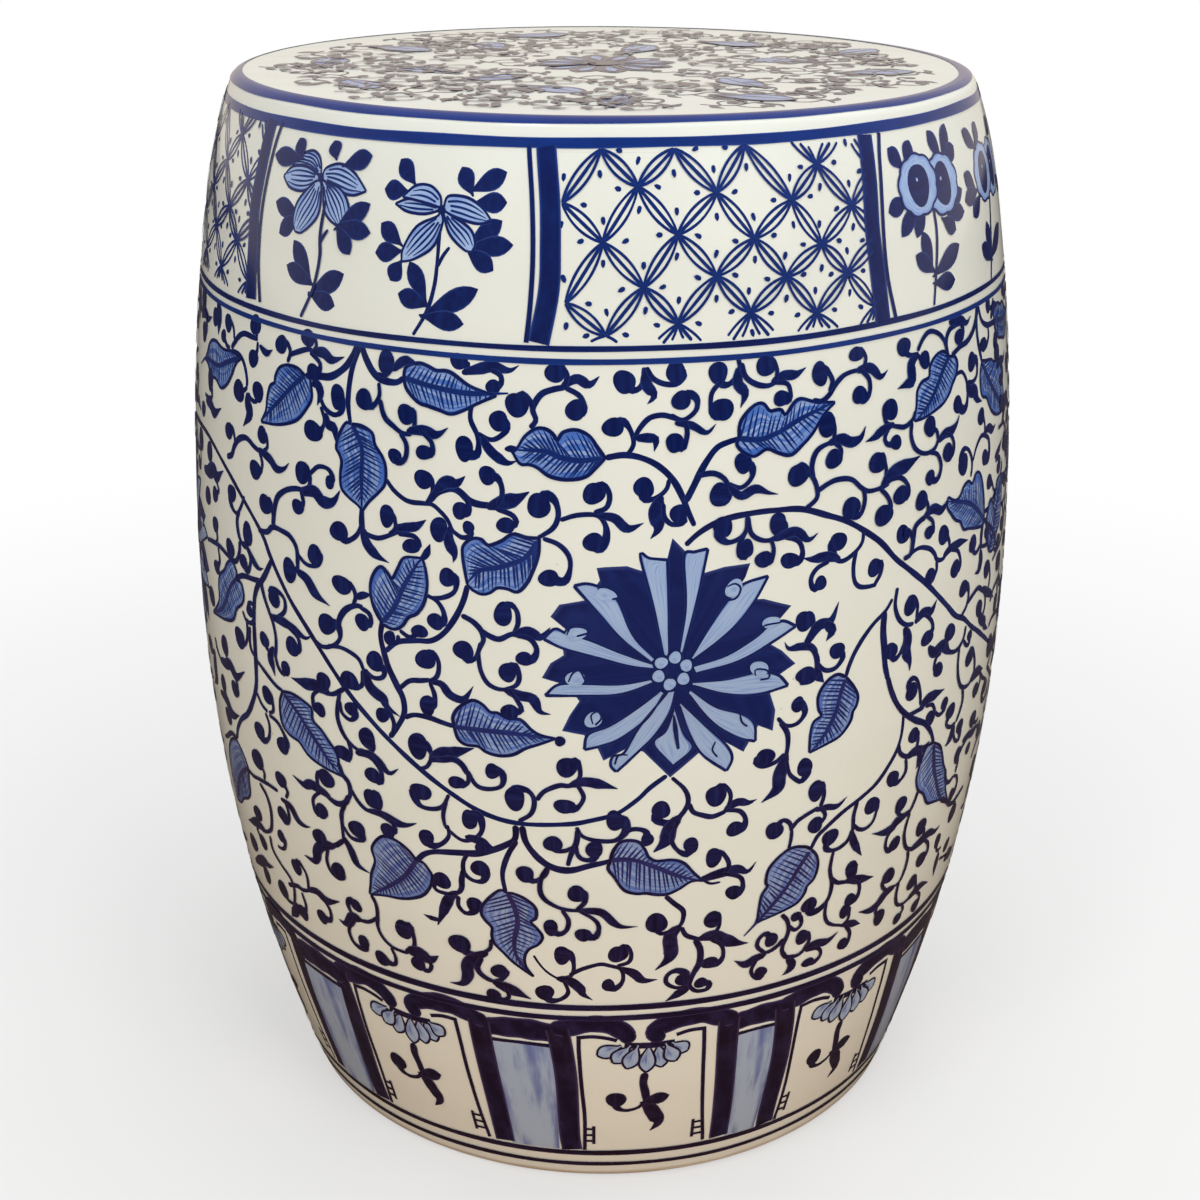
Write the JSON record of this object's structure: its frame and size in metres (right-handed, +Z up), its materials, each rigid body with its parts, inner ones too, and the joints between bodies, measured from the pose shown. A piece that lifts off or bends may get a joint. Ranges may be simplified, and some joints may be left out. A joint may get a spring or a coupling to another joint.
{
  "type": "garden stool",
  "caption": "Drum-shaped glazed ceramic stool with a flat round seat, bulging hollow body and an open, unglazed foot ring.",
  "frame": {"origin": "middle of the footprint, on the floor", "axes": "+Z up along the stool's axis; the painted front, with the large flower right of its middle, faces -Y; +X to the right as seen from the front"},
  "size_m": [0.3626, 0.3626, 0.457],
  "materials": {
    "glazed_stoneware": "clear gloss glaze over a cream-white body with cobalt painting",
    "bare_stoneware": "unglazed fired clay, matt and slightly sandy",
    "cobalt_line": "dark cobalt brushwork under clear gloss glaze",
    "cobalt_wash": "thin cobalt wash under clear gloss glaze"
  },
  "bodies": {
    "root": {"seat": "glazed_stoneware", "upper_barrel": "glazed_stoneware", "lower_barrel": "glazed_stoneware", "foot_ring": "bare_stoneware", "seat_seam_coil": "bare_stoneware", "waist_seam_coil": "bare_stoneware", "foot_seam_coil": "bare_stoneware"}
  },
  "joints": []
}
